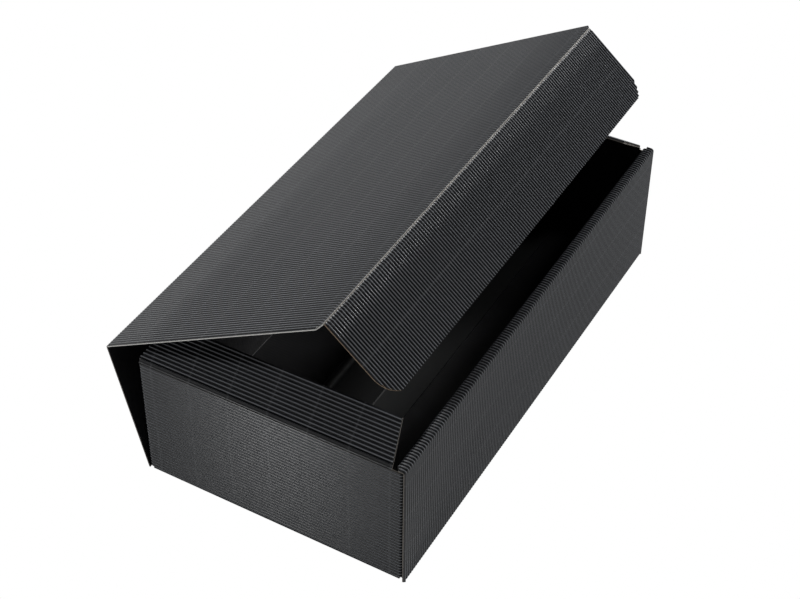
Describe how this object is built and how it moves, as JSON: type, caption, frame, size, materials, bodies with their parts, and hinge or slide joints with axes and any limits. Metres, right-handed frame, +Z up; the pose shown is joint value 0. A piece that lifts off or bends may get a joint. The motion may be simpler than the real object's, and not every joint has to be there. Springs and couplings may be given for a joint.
{
  "type": "bottle shipping box",
  "caption": "Folded shipping box of open-flute board for bottles, with a hinged tuck-in lid, a rolled-over front wall, raised end flaps and a folded divider.",
  "frame": {"origin": "middle of the face that the box stands on, the floor's flute crests", "axes": "+X along the box's length, +Y from the front wall to the back wall, +Z up"},
  "size_m": [0.36, 0.2121, 0.1803],
  "materials": {
    "black_board": "through-dyed black single-face corrugated board, matt",
    "black_card": "through-dyed black card, matt"
  },
  "bodies": {
    "tray": {"tray": "black_board", "divider": "black_card"},
    "back_wall": {"back_wall": "black_board"},
    "lid": {"lid": "black_board"},
    "tuck_flap": {"tuck_flap": "black_board"}
  },
  "joints": [
    {"name": "back_fold", "type": "hinge", "parent": "tray", "child": "back_wall", "pos_m": [0, 0.09335, 0.00165], "axis": [-1, 0, 0], "range_deg": [0, 76]},
    {"name": "lid_fold", "type": "hinge", "parent": "back_wall", "child": "lid", "pos_m": [0, 0.11592, 0.09568], "axis": [-1, 0, 0], "range_deg": [0, 75]},
    {"name": "tuck_fold", "type": "hinge", "parent": "lid", "child": "tuck_flap", "pos_m": [0, -0.03969, 0.17982], "axis": [-1, 0, 0], "range_deg": [-25, 68]}
  ]
}
